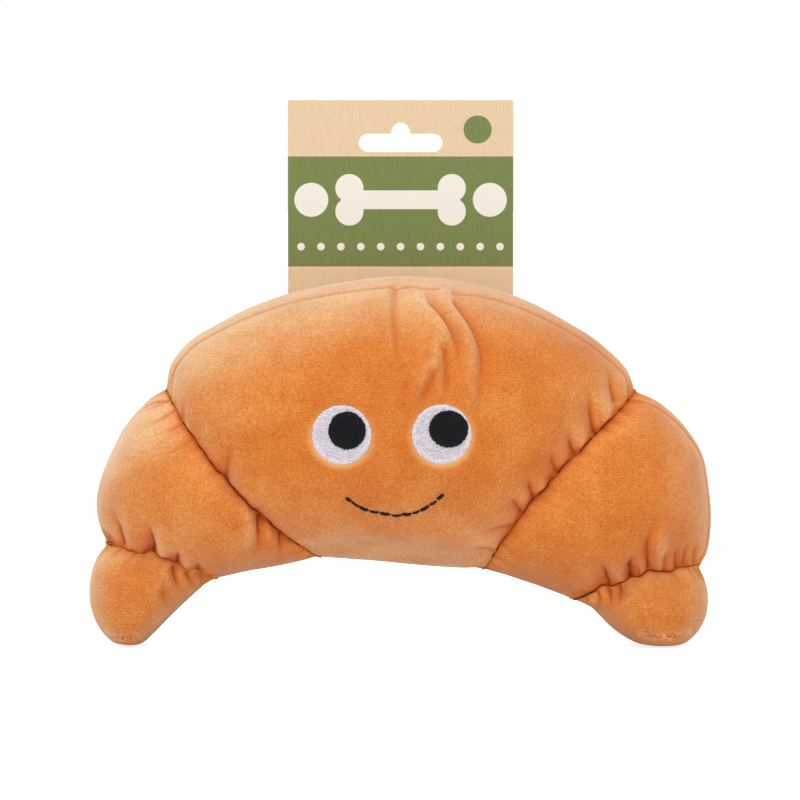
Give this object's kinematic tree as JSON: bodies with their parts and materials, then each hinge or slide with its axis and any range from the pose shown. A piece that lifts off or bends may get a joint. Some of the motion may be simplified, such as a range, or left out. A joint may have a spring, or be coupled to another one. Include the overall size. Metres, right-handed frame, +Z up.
{
  "type": "squeaky plush dog toy",
  "caption": "Croissant-shaped plush dog toy: stuffed lobes that flex at drawn-in seams, an embroidered smiling face, a squeaker inside, and a header card with a hanging slot.",
  "frame": {"origin": "on the floor, under the middle of the object's bounding box", "axes": "+X to the right in the picture, where the pieces named right lie; -Y is where the face looks; +Z up"},
  "size_m": [0.208, 0.1019, 0.1835],
  "materials": {
    "plush": "short pile plush",
    "fibre": "loose fibre filling",
    "white_thread": "embroidery",
    "black_thread": "embroidery",
    "squeaker_plastic": "moulded",
    "card": "uncoated, ribbed",
    "pin_plastic": "moulded"
  },
  "bodies": {
    "centre": {"centre_back_panel": "plush", "centre_front_panel": "plush", "centre_filling": "fibre", "squeaker_base": "squeaker_plastic", "squeaker_bellows": "squeaker_plastic", "reed_tube": "squeaker_plastic", "reed_bed": "squeaker_plastic", "reed_clamp": "squeaker_plastic", "left_tag_pin": "pin_plastic", "right_tag_pin": "pin_plastic"},
    "face": {"face_pad": "fibre", "squeaker_cap": "squeaker_plastic", "left_eye_white": "white_thread", "left_pupil": "black_thread", "right_eye_white": "white_thread", "right_pupil": "black_thread", "mouth_stitching": "black_thread"},
    "card": {"header_card": "card"},
    "reed": {"reed": "squeaker_plastic"},
    "left_wing": {"left_wing_front_panel": "plush", "left_wing_back_panel": "plush", "left_wing_filling": "fibre"},
    "left_tip": {"left_tip_front_panel": "plush", "left_tip_back_panel": "plush", "left_tip_filling": "fibre"},
    "right_wing": {"right_wing_front_panel": "plush", "right_wing_back_panel": "plush", "right_wing_filling": "fibre"},
    "right_tip": {"right_tip_front_panel": "plush", "right_tip_back_panel": "plush", "right_tip_filling": "fibre"}
  },
  "joints": [
    {"name": "left_wing_flex", "type": "hinge", "parent": "centre", "child": "left_wing", "pos_m": [-0.06793, 0, 0.04403], "axis": [0.6671, 0, -0.745], "range_deg": [-15, 15], "stiffness_Nm_per_rad": 1},
    {"name": "right_wing_flex", "type": "hinge", "parent": "centre", "child": "right_wing", "pos_m": [0.06793, 0, 0.04403], "axis": [0.6671, 0, 0.745], "range_deg": [-15, 15], "stiffness_Nm_per_rad": 1},
    {"name": "left_tip_flex", "type": "hinge", "parent": "left_wing", "child": "left_tip", "pos_m": [-0.08344, 0, 0.01566], "axis": [0.9544, 0, -0.2987], "range_deg": [-20, 20], "stiffness_Nm_per_rad": 0.4},
    {"name": "right_tip_flex", "type": "hinge", "parent": "right_wing", "child": "right_tip", "pos_m": [0.08344, 0, 0.01566], "axis": [0.9544, 0, 0.2987], "range_deg": [-20, 20], "stiffness_Nm_per_rad": 0.4},
    {"name": "squeeze", "type": "slide", "parent": "centre", "child": "face", "axis": [0, 1, 0], "range_m": [0, 0.008], "stiffness_N_per_m": 1200, "deforming": ["centre_front_panel", "squeaker_bellows"]},
    {"name": "card_tilt", "type": "hinge", "parent": "centre", "child": "card", "pos_m": [0, 0.04354, 0.1125], "axis": [-1, 0, 0], "range_deg": [0, 30]},
    {"name": "reed_flutter", "type": "hinge", "parent": "centre", "child": "reed", "pos_m": [-0.002, 0.0098, 0.068], "axis": [1, 0, 0], "range_deg": [-2.5, 2.5], "stiffness_Nm_per_rad": 0.00001}
  ]
}
